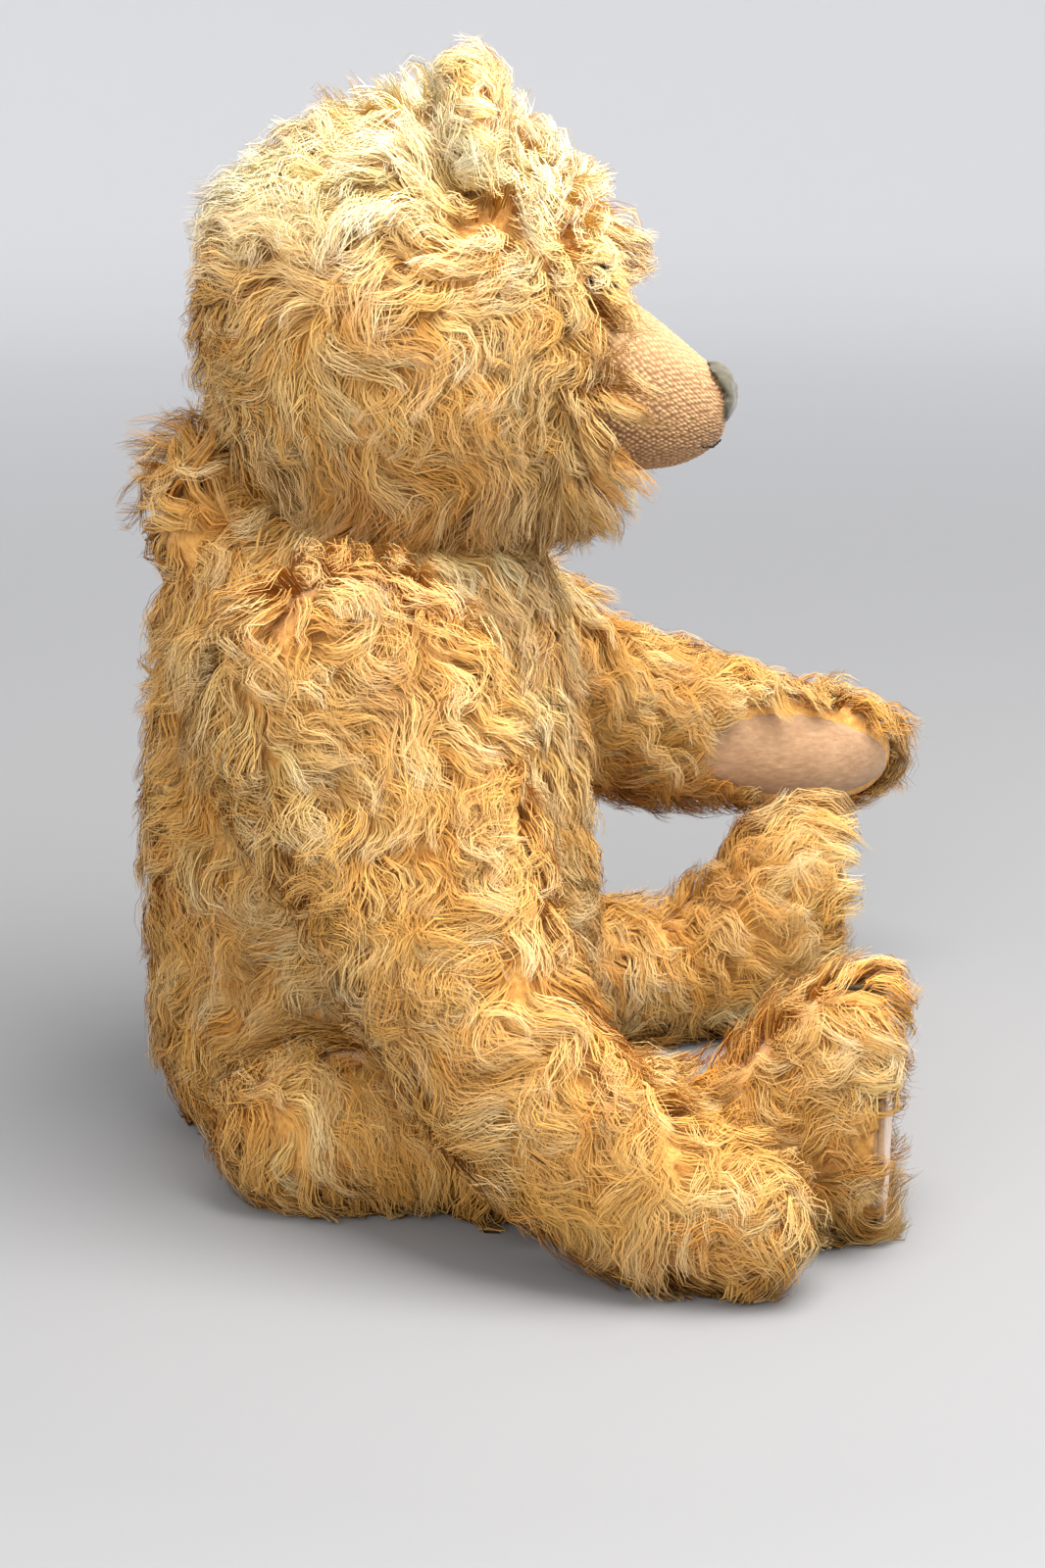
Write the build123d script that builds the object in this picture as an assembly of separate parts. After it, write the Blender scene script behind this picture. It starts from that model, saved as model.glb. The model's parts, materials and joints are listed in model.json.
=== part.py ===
from build123d import *
import os
from math import cos, radians, sin, sqrt

# A jointed teddy bear of the 50 cm size, sitting on a level surface, in millimetres.
# +Z is up, the bear faces -Y, and its left side is at +X.
# "forward" is measured towards -Y from a line through the bear's middle, so that y = MIDDLE - forward.

# Driving dimensions
CLOTH = 2.0  # mohair cloth with its clipped base
SLACK = 0.2  # between the cloth and what it is stuffed with
JOINT_GAP = 0.3  # between the two pieces of a joint
SIDE_PLANE = 51.0  # where the arms and legs meet the body, on each side
NECK_PLANE = 211.0  # where the head meets the body
MIDDLE = 10.85  # forward place of the middle of the bear's length

# Joint hardware
DISC_THICK = 3.5
WASHER_RADIUS = 8.0
WASHER_THICK = 1.2
BOLT_RADIUS = 3.0
BOLT_HEAD_RADIUS = 5.5
BOLT_HEAD_HEIGHT = 4.0
BOLT_END = 2.0  # how far the bolt stands out of its nut
NUT_RADIUS = 5.8
NUT_HEIGHT = 5.0
BORE_CLEARANCE = 0.05  # a disc turns on its bolt
CLOTH_HOLE_RADIUS = 3.6
WASHER_GAP = 0.1
POCKET_SLACK = 0.5

# Body
BODY_RINGS = [  # height, back, front, half width
    (0.0, -99.0, -8.0, 33.0),
    (12.0, -113.0, 6.0, 42.0),
    (40.0, -119.0, 14.0, 48.0),
    (70.0, -120.0, 17.0, 52.0),
    (100.0, -120.0, 17.0, 54.0),
    (135.0, -119.0, 14.0, 50.0),
    (165.0, -117.0, 9.0, 47.0),
    (192.0, -111.0, 3.0, 43.0),
    (NECK_PLANE, -92.0, -5.0, 35.0),
]
HUMP_RADIUS = 18.0
HUMP_FORWARD = -102.0
HUMP_HEIGHT = 203.0
SEAT_DEPTH = 20.0  # how far a joint's flat seat reaches into the stuffed shape

# Head
HEAD_RADIUS = 65.0
HEAD_FORWARD = -34.0
HEAD_HEIGHT = 267.5
NECK_DISC_RADIUS = 24.0
GUSSET_HALF_WIDTH = 18.0
GUSSET_LOW = 240.0
MUZZLE_RINGS = [  # forward, middle height, half height, half width
    (8.0, 253.5, 30.0, 29.0),
    (35.0, 252.5, 27.5, 26.0),
    (50.0, 247.5, 21.0, 20.5),
    (60.0, 245.5, 14.5, 14.5),
    (66.0, 246.0, 9.0, 9.0),
]
NOSE_FORWARD = 60.5
NOSE_HEIGHT = 249.5
NOSE_RADII = (9.5, 10.0, 11.5)  # across, forward, up
MOUTH_STITCH_RADIUS = 0.9
MOUTH_LIFT = 0.6  # from the muzzle's cloth out to the middle of the thread
MOUTH_MIDDLE = [(65.6, 0.0), (62.5, 0.0)]  # forward, and degrees round from the muzzle's underside
MOUTH_SIDE = [(62.5, 0.0), (61.6, 18.0), (59.6, 34.0), (56.0, 46.0)]
EAR_SIDE = 35.0
EAR_FORWARD = -17.0
EAR_HEIGHT = 335.5
EAR_RADII = (19.0, 6.0, 19.5)  # across, forward, up
EAR_TURN = 12.0  # degrees that each ear is turned outwards
EYE_SIDE = 22.0
EYE_HEIGHT = 288.0
EYE_RADIUS = 6.0
SHANK_RADIUS = 1.2
SHANK_LENGTH = 12.0

# Arms
SHOULDER_FORWARD = -55.0
SHOULDER_HEIGHT = 163.0
SHOULDER_SEAT = 24.0
SHOULDER_DISC_RADIUS = 20.0
ARM_CENTRE = 75.0  # sideways place of the arm's middle at the shoulder
ARM_TOP = 36.0  # from the shoulder's axis to the top of the arm
ARM_STRAIGHT = 92.0
ARM_CURVED = 88.0
ARM_LENGTH = 212.0  # from the shoulder's axis to the tip, along the arm's line
PAW_ROUND = 30.0  # length of the rounded tip
ARM_RINGS = [  # along the arm, half width, half thickness, how far out from the shoulder
    (0.0, 41.0, 24.5, 0.0),
    (23.0, 39.5, 24.0, 7.5),
    (46.0, 36.0, 23.0, 17.0),
    (69.0, 32.0, 22.0, 30.5),
    (92.0, 28.5, 21.0, 43.5),
    (114.0, 26.0, 19.5, 55.0),
    (136.0, 24.5, 18.5, 64.0),
    (159.0, 23.0, 18.0, 70.5),
    (182.0, 20.5, 17.0, 75.0),
]
ARM_SWING = {"left": 62.0, "right": 26.0}  # degrees forward from hanging
ARM_BEND = {"left": 22.0, "right": 47.0}  # the right forearm is bent by what it leans on
PAD_LENGTH = 78.0
PAD_WIDTH = 32.0

# Legs
HIP_FORWARD = -64.0
HIP_HEIGHT = 26.0
HIP_SEAT = 21.0
HIP_DISC_RADIUS = 18.0
LEG_CENTRE = 76.5  # sideways place of the leg's middle at the hip
LEG_SPLAY = 9.0  # degrees that each leg points outwards
LEG_BACK = 30.0  # from the hip's axis to the back of the leg
LEG_RINGS = [  # along the leg, middle height, half height, half thickness
    (0.0, 26.0, 24.0, 25.5),
    (60.0, 24.5, 22.5, 25.0),
    (105.0, 23.0, 21.0, 24.0),
    (130.0, 25.5, 23.5, 24.0),
    (148.0, 34.0, 32.0, 25.0),
    (162.0, 39.5, 37.5, 25.5),
    (178.0, 41.0, 39.0, 25.5),
]
SOLE_THICK = 2.5
CLAW_RADIUS = 0.9
CLAW_LENGTH = 15.0
CLAW_COUNT = 4
CLAW_SPACING = 8.0

CAP_STEPS = (0.5, 0.8, 0.95)  # where the rings of a rounded end lie, out to its tip
FAR = 400.0  # larger than the bear, for cutting
SIDES = {"left": 1, "right": -1}


def place(side, forward, height):
    """The point at a sideways, forward and upward place."""
    return Vector(side, MIDDLE - forward, height)


def rod(start, direction, radius, length):
    """A round bar from a point, along a direction."""
    return Solid.make_cylinder(radius, length, Plane(origin=start, z_dir=direction))


def ring(plane, across, along):
    """An elliptical section, across the plane's x and along its y."""
    return plane * Ellipse(across, along)


def ellipsoid(centre, radii):
    """A rounded solid with the given radii along X, Y and Z."""
    return Pos(centre) * scale(Sphere(1.0), by=radii)


def half_space(side, plane_x):
    """Everything nearer the middle than a vertical plane on one side."""
    return Pos(side * (plane_x - FAR / 2), 0, 0) * Box(FAR, 2 * FAR, 2 * FAR)


def cap_rings(length, across, along):
    """Places and sizes of the rings that round off an end of the given length."""
    return [(step * length, across * sqrt(1 - step**2), along * sqrt(1 - step**2)) for step in CAP_STEPS]


# Joint hardware. A joint's own plane has its origin on the joint's axis, in the outer face of the
# limb's seat, and its z axis points out of the limb and into the body.


def joint_plane(name):
    """The plane of one of the five joints."""
    if name == "neck":
        centre = place(0, HEAD_FORWARD, NECK_PLANE + JOINT_GAP)
        return Plane(origin=centre, x_dir=(1, 0, 0), z_dir=(0, 0, -1))
    side, kind = name.split("_")
    sign = SIDES[side]
    if kind == "shoulder":
        centre = place(sign * SIDE_PLANE, SHOULDER_FORWARD, SHOULDER_HEIGHT)
    else:
        centre = place(sign * SIDE_PLANE, HIP_FORWARD, HIP_HEIGHT)
    return Plane(origin=centre, x_dir=(0, 1, 0), z_dir=(-sign, 0, 0))


DISC_RADII = {
    "neck": NECK_DISC_RADIUS,
    "left_shoulder": SHOULDER_DISC_RADIUS,
    "right_shoulder": SHOULDER_DISC_RADIUS,
    "left_hip": HIP_DISC_RADIUS,
    "right_hip": HIP_DISC_RADIUS,
}
LIMB_DISC_FACE = CLOTH + SLACK
BODY_DISC_FACE = JOINT_GAP + CLOTH + SLACK
HEAD_WASHER_FACE = LIMB_DISC_FACE + DISC_THICK
NUT_WASHER_FACE = BODY_DISC_FACE + DISC_THICK + WASHER_GAP
BOLT_LENGTH = NUT_WASHER_FACE + WASHER_THICK + NUT_HEIGHT + BOLT_END


def slab(plane, low, high, radius, hole=0.0):
    """A round plate between two distances along the joint's axis, with a hole where it has one."""
    plate = Pos(0, 0, low) * Cylinder(radius, high - low, align=(Align.CENTER, Align.CENTER, Align.MIN))
    if hole:
        plate -= Pos(0, 0, low) * Cylinder(hole, high - low, align=(Align.CENTER, Align.CENTER, Align.MIN))
    return plane * plate


def hexagon(plane, low, high, radius):
    """A hexagonal plate between two distances along the joint's axis."""
    outline = Pos(0, 0, low) * RegularPolygon(radius, 6)
    return plane * extrude(outline, high - low, dir=(0, 0, 1))


def limb_disc(name):
    plane = joint_plane(name)
    bore = BOLT_RADIUS + BORE_CLEARANCE
    return slab(plane, -HEAD_WASHER_FACE, -LIMB_DISC_FACE, DISC_RADII[name], bore)


def body_disc(name):
    plane = joint_plane(name)
    bore = BOLT_RADIUS + BORE_CLEARANCE
    return slab(plane, BODY_DISC_FACE, BODY_DISC_FACE + DISC_THICK, DISC_RADII[name], bore)


def joint_bolt(name):
    plane = joint_plane(name)
    head_face = -HEAD_WASHER_FACE - WASHER_THICK
    head = hexagon(plane, head_face - BOLT_HEAD_HEIGHT, head_face, BOLT_HEAD_RADIUS)
    return head + slab(plane, head_face, BOLT_LENGTH, BOLT_RADIUS)


def joint_washers(name):
    plane = joint_plane(name)
    hole = BOLT_RADIUS + BORE_CLEARANCE
    head_face = -HEAD_WASHER_FACE - WASHER_THICK
    under_head = slab(plane, head_face, -HEAD_WASHER_FACE, WASHER_RADIUS, hole)
    under_nut = slab(plane, NUT_WASHER_FACE, NUT_WASHER_FACE + WASHER_THICK, WASHER_RADIUS, hole)
    return Compound([under_head.solid(), under_nut.solid()])


def joint_nut(name):
    plane = joint_plane(name)
    low = NUT_WASHER_FACE + WASHER_THICK
    high = low + NUT_HEIGHT
    return hexagon(plane, low, high, NUT_RADIUS) - slab(plane, low, high, BOLT_RADIUS + BORE_CLEARANCE)


def limb_pocket(name, plane):
    """The space that a joint's disc, washer and bolt head take up inside the limb's stuffing."""
    head_end = HEAD_WASHER_FACE + WASHER_THICK + BOLT_HEAD_HEIGHT + POCKET_SLACK
    disc = slab(plane, -HEAD_WASHER_FACE, 0, DISC_RADII[name] + SLACK)
    return disc + slab(plane, -head_end, -HEAD_WASHER_FACE, WASHER_RADIUS + POCKET_SLACK)


def body_pocket(name):
    """The same on the body's side, with room for the nut to turn."""
    plane = joint_plane(name)
    disc_end = BODY_DISC_FACE + DISC_THICK
    disc = slab(plane, 0, disc_end, DISC_RADII[name] + SLACK)
    return disc + slab(plane, disc_end, BOLT_LENGTH + POCKET_SLACK, WASHER_RADIUS + POCKET_SLACK)


def bolt_hole(plane):
    """The hole through the cloth on both sides of a joint."""
    return slab(plane, -HEAD_WASHER_FACE, NUT_WASHER_FACE, CLOTH_HOLE_RADIUS)


# Body


def body_shape(inset):
    """The stuffed body, made smaller all round by the inset."""
    rings = []
    for height, back, front, half_width in BODY_RINGS:
        level = min(max(height, inset), NECK_PLANE - inset)
        plane = Plane(origin=place(0, (back + front) / 2, level))
        rings.append(ring(plane, half_width - inset, (front - back) / 2 - inset))
    shape = loft(rings)
    shape += Pos(place(0, HUMP_FORWARD, HUMP_HEIGHT)) * Sphere(HUMP_RADIUS - inset)
    for name, seat in (("shoulder", SHOULDER_SEAT), ("hip", HIP_SEAT)):
        for side in SIDES:
            plane = joint_plane(f"{side}_{name}")
            shape += slab(plane, JOINT_GAP + inset, SEAT_DEPTH, seat - inset)
    return shape


def body_parts():
    joints = list(DISC_RADII)
    outside = body_shape(0)
    cloth = outside - body_shape(CLOTH)
    stuffing = body_shape(CLOTH + SLACK)
    for name in joints:
        cloth -= bolt_hole(joint_plane(name))
        stuffing -= body_pocket(name)
    parts = {
        "torso_left_panel": cloth - half_space(1, 0),
        "torso_right_panel": cloth - half_space(-1, 0),
        "torso_stuffing": stuffing,
    }
    for name in joints:
        parts[f"torso_{name}_disc"] = body_disc(name)
    return parts


# Head


def head_ball(inset):
    """The ball of the head with its flat neck."""
    centre = place(0, HEAD_FORWARD, HEAD_HEIGHT)
    base = NECK_PLANE + JOINT_GAP + inset
    below = Pos(0, 0, base - FAR / 2) * Box(FAR, 2 * FAR, FAR)
    return Pos(centre) * Sphere(HEAD_RADIUS - inset) - below


def muzzle_shape(inset):
    """The muzzle, from inside the head to the nose."""
    rings = []
    for forward, height, half_height, half_width in MUZZLE_RINGS:
        front = min(forward, MUZZLE_RINGS[-1][0] - inset)
        plane = Plane(origin=place(0, front, height), x_dir=(1, 0, 0), z_dir=(0, -1, 0))
        rings.append(ring(plane, half_width - inset, half_height - inset))
    return loft(rings)


def eye_centre(sign):
    """Where an eye's dome is centred: on the surface of the head."""
    up = EYE_HEIGHT - HEAD_HEIGHT
    out = sqrt(HEAD_RADIUS**2 - EYE_SIDE**2 - up**2)
    return place(sign * EYE_SIDE, HEAD_FORWARD + out, EYE_HEIGHT)


def eye_shank(sign, radius):
    """A wire that runs from the eye straight towards the middle of the head."""
    start = eye_centre(sign)
    inward = place(0, HEAD_FORWARD, HEAD_HEIGHT) - start
    return rod(start, inward, radius, SHANK_LENGTH)


def ear(sign, ball):
    """A flat round ear, cut to sit on the head."""
    turned = Rot(0, 0, -sign * EAR_TURN) * scale(Sphere(1.0), by=EAR_RADII)
    return Pos(place(sign * EAR_SIDE, EAR_FORWARD, EAR_HEIGHT)) * turned - ball


def muzzle_point(forward, angle):
    """A point just above the muzzle's cloth, at an angle round it from its underside."""
    for behind, ahead in zip(MUZZLE_RINGS, MUZZLE_RINGS[1:]):
        if behind[0] <= forward <= ahead[0]:
            share = (forward - behind[0]) / (ahead[0] - behind[0])
            middle, tall, wide = [low + share * (high - low) for low, high in zip(behind[1:], ahead[1:])]
    turn = radians(angle)
    return place((wide + MOUTH_LIFT) * sin(turn), forward, middle - (tall + MOUTH_LIFT) * cos(turn))


def mouth_stitches(muzzle, nose):
    """One stitch down from the nose, and a row back along each side from its end."""
    thread = Part()
    for sign, places in ((1, MOUTH_MIDDLE), (1, MOUTH_SIDE), (-1, MOUTH_SIDE)):
        points = [muzzle_point(forward, sign * angle) for forward, angle in places]
        for start, end in zip(points, points[1:]):
            thread += rod(start, end - start, MOUTH_STITCH_RADIUS, (end - start).length)
            thread += Pos(end) * Sphere(MOUTH_STITCH_RADIUS)
    return thread - muzzle - nose


def head_parts():
    ball = head_ball(0)
    muzzle = muzzle_shape(0)
    cloth = ball - head_ball(CLOTH) - muzzle_shape(CLOTH) - bolt_hole(joint_plane("neck"))
    stuffing = head_ball(CLOTH + SLACK) + muzzle_shape(CLOTH + SLACK) - limb_pocket("neck", joint_plane("neck"))
    nose = ellipsoid(place(0, NOSE_FORWARD, NOSE_HEIGHT), NOSE_RADII) - muzzle
    shanks = []
    for sign in SIDES.values():
        hole = eye_shank(sign, SHANK_RADIUS + SLACK)
        cloth -= hole
        stuffing -= hole
        shanks.append((Part() + eye_shank(sign, SHANK_RADIUS) & ball).solid())
    strip = Pos(0, 0, GUSSET_LOW + FAR / 2) * Box(2 * GUSSET_HALF_WIDTH, 2 * FAR, FAR)
    parts = {
        "head_left_panel": cloth - strip - half_space(1, 0),
        "head_right_panel": cloth - strip - half_space(-1, 0),
        "head_gusset": cloth & strip,
        "muzzle": muzzle - muzzle_shape(CLOTH) - ball,
        "head_stuffing": stuffing,
        "nose": nose,
        "mouth_stitches": mouth_stitches(muzzle, nose),
        "eye_shanks": Compound(shanks),
        "neck_disc": limb_disc("neck"),
        "neck_bolt": joint_bolt("neck"),
        "neck_washers": joint_washers("neck"),
        "neck_lock_nut": joint_nut("neck"),
    }
    for side, sign in SIDES.items():
        parts[f"{side}_ear"] = ear(sign, ball)
        parts[f"{side}_eye"] = Pos(eye_centre(sign)) * Sphere(EYE_RADIUS) - ball
    return parts


# Arms. An arm is drawn hanging, with the shoulder's axis at the origin, then swung forward.


def arm_line(along, bend):
    """Forward, downward and angle of the arm's line at a distance along it."""
    if along <= ARM_STRAIGHT:
        return 0.0, along, 0.0
    radius = ARM_CURVED / radians(bend)
    angle = min(along - ARM_STRAIGHT, ARM_CURVED) / radius
    forward = radius * (1 - cos(angle))
    down = ARM_STRAIGHT + radius * sin(angle)
    beyond = max(along - ARM_STRAIGHT - ARM_CURVED, 0.0)
    return forward + beyond * sin(angle), down + beyond * cos(angle), angle


def arm_place(sign, along, outward, bend):
    """A point of the arm's line, and the direction of the line there without its sideways part."""
    forward, down, angle = arm_line(along, bend)
    point = Vector(sign * (ARM_CENTRE + outward), -forward, -down)
    return point, Vector(0, -sin(angle), -cos(angle))


def arm_seat_plane(sign):
    """The shoulder joint's plane on the arm in its hanging place."""
    return Plane(origin=(sign * SIDE_PLANE, 0, 0), x_dir=(0, 1, 0), z_dir=(-sign, 0, 0))


def arm_shape(sign, bend, inset):
    """The stuffed arm in its hanging place, made smaller all round by the inset."""
    rings = []
    _, top_width, top_thick, _ = ARM_RINGS[0]
    slope = (ARM_RINGS[1][3] - ARM_RINGS[0][3]) / ARM_RINGS[1][0]
    for distance, width, thick in reversed(cap_rings(ARM_TOP - inset, top_width - inset, top_thick - inset)):
        rings.append((-distance, width, thick, -distance * slope / 2))
    for along, width, thick, outward in ARM_RINGS:
        rings.append((along, width - inset, thick - inset, outward))
    start, paw_width, paw_thick, paw_out = ARM_RINGS[-1]
    drift = (ARM_RINGS[-1][3] - ARM_RINGS[-2][3]) / (ARM_RINGS[-1][0] - ARM_RINGS[-2][0])
    for distance, width, thick in cap_rings(PAW_ROUND - inset, paw_width - inset, paw_thick - inset):
        rings.append((start + distance, width, thick, paw_out + distance * drift))

    tip, _ = arm_place(sign, start + PAW_ROUND - inset, paw_out + (PAW_ROUND - inset) * drift, bend)
    top, _ = arm_place(sign, inset - ARM_TOP, (inset - ARM_TOP) * slope / 2, bend)
    sections = [Vertex(*top)]
    for along, width, thick, outward in rings:
        point, direction = arm_place(sign, along, outward, bend)
        plane = Plane(origin=point, x_dir=(1, 0, 0), z_dir=direction)
        sections.append(ring(plane, thick, width))
    sections.append(Vertex(*tip))
    shape = loft(sections)
    shape += slab(arm_seat_plane(sign), -SEAT_DEPTH, -inset, SHOULDER_SEAT - inset)
    return shape - half_space(sign, SIDE_PLANE + inset)


def arm_parting(sign, bend):
    """The plane through the arm's line that its outer and inner panels meet at."""
    start = Vector(sign * ARM_CENTRE, 0, 0)
    paw, _ = arm_place(sign, ARM_RINGS[-1][0], ARM_RINGS[-1][3], bend)
    outward = Vector(0, 1, 0).cross(paw - start) * sign
    if outward.X * sign < 0:
        outward = outward * -1
    return Plane(origin=start, z_dir=outward)


def pad_prism(sign, bend):
    """An elliptical bar through the inner side of the paw, as large as the felt pad."""
    middle = ARM_LENGTH - PAD_LENGTH / 2 - CLOTH
    point, direction = arm_place(sign, middle, ARM_RINGS[-1][3], bend)
    plane = Plane(origin=point, x_dir=direction, z_dir=(-sign, 0, 0))
    outline = plane * Ellipse(PAD_LENGTH / 2, PAD_WIDTH / 2)
    return extrude(outline, 2 * PAD_LENGTH, dir=(-sign, 0, 0))


def arm_parts(side):
    sign = SIDES[side]
    bend = ARM_BEND[side]
    joint = f"{side}_shoulder"
    shoulder = Pos(place(0, SHOULDER_FORWARD, SHOULDER_HEIGHT))
    swing = shoulder * Rot(-ARM_SWING[side], 0, 0)
    cloth = arm_shape(sign, bend, 0) - arm_shape(sign, bend, CLOTH)
    parting = arm_parting(sign, bend)
    outer = split(cloth, bisect_by=parting, keep=Keep.TOP)
    inner = split(cloth, bisect_by=parting, keep=Keep.BOTTOM)
    prism = pad_prism(sign, bend)
    seat_plane = arm_seat_plane(sign)
    stuffed = arm_shape(sign, bend, CLOTH + SLACK)
    wads = []
    for keep in (Keep.TOP, Keep.BOTTOM):
        wad = split(stuffed, bisect_by=parting, keep=keep) - limb_pocket(joint, seat_plane)
        wads += (swing * wad).solids()
    return {
        f"{side}_arm_outer_panel": swing * outer,
        f"{side}_arm_inner_panel": swing * (inner - prism - bolt_hole(seat_plane)),
        f"{side}_arm_stuffing": Compound(wads),
        f"{side}_paw_pad": swing * (inner & prism),
        f"{side}_shoulder_disc": limb_disc(joint),
        f"{side}_shoulder_bolt": joint_bolt(joint),
        f"{side}_shoulder_washers": joint_washers(joint),
        f"{side}_shoulder_lock_nut": joint_nut(joint),
    }


# Legs


def leg_direction(sign):
    """The direction from the hip to the foot."""
    return Vector(sign * sin(radians(LEG_SPLAY)), -cos(radians(LEG_SPLAY)), 0)


def leg_plane(sign, along, height):
    """A section plane across the leg, with x across it and y up."""
    origin = place(sign * LEG_CENTRE, HIP_FORWARD, height) + leg_direction(sign) * along
    across = Vector(0, 0, 1).cross(leg_direction(sign))
    return Plane(origin=origin, x_dir=across, z_dir=leg_direction(sign))


def leg_shape(sign, inset):
    """The stuffed leg, made smaller by the inset all round but at the sole, where it is open."""
    _, top_middle, top_height, top_thick = LEG_RINGS[0]
    sections = [Vertex(*leg_plane(sign, inset - LEG_BACK, top_middle).origin)]
    for distance, height, thick in reversed(cap_rings(LEG_BACK - inset, top_height - inset, top_thick - inset)):
        sections.append(ring(leg_plane(sign, -distance, top_middle), thick, height))
    for along, middle, half_height, half_thick in LEG_RINGS:
        sections.append(ring(leg_plane(sign, along, middle), half_thick - inset, half_height - inset))
    shape = loft(sections)
    seat_plane = joint_plane("left_hip" if sign > 0 else "right_hip")
    shape += slab(seat_plane, -SEAT_DEPTH, -inset, HIP_SEAT - inset)
    return shape - half_space(sign, SIDE_PLANE + inset)


def sole_pad(sign):
    """A flat felt oval that closes the end of the foot."""
    along, middle, half_height, half_thick = LEG_RINGS[-1]
    outline = ring(leg_plane(sign, along, middle), half_thick, half_height)
    return extrude(outline, SOLE_THICK, dir=leg_direction(sign))


def claw_stitches(sign, shape):
    """Straight stitches that run back over the toes from the edge of the sole."""
    along, middle, half_height, half_thick = LEG_RINGS[-1]
    stitches = []
    for index in range(CLAW_COUNT):
        offset = (index - (CLAW_COUNT - 1) / 2) * CLAW_SPACING
        top = half_height * sqrt(1 - (offset / half_thick) ** 2)
        plane = leg_plane(sign, along, middle)
        front = plane.from_local_coords(Vector(offset, top + CLAW_RADIUS / 2, 0))
        bar = rod(front, leg_direction(sign) * -1, CLAW_RADIUS, CLAW_LENGTH)
        stitches.append((Part() + bar - shape).solid())
    return Compound(stitches)


def leg_parts(side):
    sign = SIDES[side]
    joint = f"{side}_hip"
    shape = leg_shape(sign, 0)
    cloth = shape - leg_shape(sign, CLOTH)
    across = Vector(0, 0, 1).cross(leg_direction(sign))
    outward = across if across.X * sign > 0 else across * -1
    parting = Plane(origin=leg_plane(sign, 0, HIP_HEIGHT).origin, z_dir=outward)
    outer = split(cloth, bisect_by=parting, keep=Keep.TOP)
    inner = split(cloth, bisect_by=parting, keep=Keep.BOTTOM)
    return {
        f"{side}_leg_outer_panel": outer,
        f"{side}_leg_inner_panel": inner - bolt_hole(joint_plane(joint)),
        f"{side}_leg_stuffing": leg_shape(sign, CLOTH + SLACK) - limb_pocket(joint, joint_plane(joint)),
        f"{side}_sole_pad": sole_pad(sign),
        f"{side}_claw_stitches": claw_stitches(sign, shape),
        f"{side}_hip_disc": limb_disc(joint),
        f"{side}_hip_bolt": joint_bolt(joint),
        f"{side}_hip_washers": joint_washers(joint),
        f"{side}_hip_lock_nut": joint_nut(joint),
    }


def main():
    os.makedirs("parts", exist_ok=True)
    parts = body_parts() | head_parts()
    for side in SIDES:
        parts |= arm_parts(side)
        parts |= leg_parts(side)
    for name, shape in parts.items():
        export_step(shape, f"parts/{name}.step")
    box = Compound([solid for shape in parts.values() for solid in shape.solids()]).bounding_box()
    print(f"{len(parts)} nodes, from {box.min} to {box.max}")


main()
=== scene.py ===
import json
from math import ceil, cos, pi, radians, sin, sqrt

import bmesh
import bpy
import numpy as np
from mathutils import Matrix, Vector
from mathutils.kdtree import KDTree


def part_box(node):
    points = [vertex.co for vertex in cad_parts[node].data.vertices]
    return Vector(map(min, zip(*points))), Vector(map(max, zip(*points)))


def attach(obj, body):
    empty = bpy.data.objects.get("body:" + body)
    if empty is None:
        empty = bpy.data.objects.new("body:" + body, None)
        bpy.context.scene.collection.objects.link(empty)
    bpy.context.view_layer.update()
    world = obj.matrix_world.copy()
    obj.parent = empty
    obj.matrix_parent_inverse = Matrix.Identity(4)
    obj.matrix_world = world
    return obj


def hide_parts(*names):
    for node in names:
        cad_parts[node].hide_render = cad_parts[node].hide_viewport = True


# The looks of a jointed mohair teddy bear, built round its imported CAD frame. Everything is in metres.
# +Z is up, the bear faces -Y, and its left side is at +X.

MM = 0.001

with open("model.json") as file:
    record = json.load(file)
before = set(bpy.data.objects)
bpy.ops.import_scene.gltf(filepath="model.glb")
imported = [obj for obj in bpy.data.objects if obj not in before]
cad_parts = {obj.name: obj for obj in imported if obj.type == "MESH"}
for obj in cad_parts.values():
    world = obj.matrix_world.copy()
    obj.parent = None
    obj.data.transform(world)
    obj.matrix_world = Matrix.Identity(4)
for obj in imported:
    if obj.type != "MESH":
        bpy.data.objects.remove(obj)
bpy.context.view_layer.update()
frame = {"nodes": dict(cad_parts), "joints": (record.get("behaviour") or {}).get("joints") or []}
NODES = frame["nodes"]
JOINTS = {joint["name"]: Vector(joint["pos_m"]) for joint in frame["joints"]}

# Camera: the picture's upright frame, from the bear's right side
CAMERA_PLACE = (-1.0877, 0.01085, 0.3892)
CAMERA_AIM = (0.0, 0.01085, 0.118)
CAMERA_LENS = 76.455  # millimetres, on a 36 mm sensor

# Fur
STEPS = 7  # points along a lock
STRANDS = 20  # fine strands in a lock
LOCKS_PER_PIECE = 820  # keeps each piece's mesh under 200 000 triangles
FLOOR_CLEARANCE = 0.5 * MM
LOCK_SPACING = 4.7 * MM
EAR_LOCK_SPACING = 4.2 * MM
TUFT_SPACING = 15.0 * MM
EAR_TUFT_SPACING = 11 * MM
LOCK_RADIUS = 2.9 * MM
STRAND_HALF_WIDTH = 0.215 * MM
CORE_RADIUS = 0.06 * MM  # at the thinnest end of a lock
STRAY_SHARE = 0.3  # of the strands, leaving their lock
STRAY_REACH = 1.9 * MM
FRIZZ = 2.7 * MM
TIP_STRETCH = 14 * MM  # how unevenly a lock's strands end
WAVES_PER_LOCK = 0.9
TIP_GAP = 1.8 * MM  # how far fur may reach towards another body that it touches
SKIN_VOXEL = 3.0 * MM
EAR_VOXEL = 2.0 * MM
SAMPLE_SPACING = 2.0 * MM  # between the points that stand for a CAD node
SCATTER_TRIES = 5  # random points for each cell that may get a lock
CELL_WIDTH = 1.2  # of a cell, in lock spacings

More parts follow.
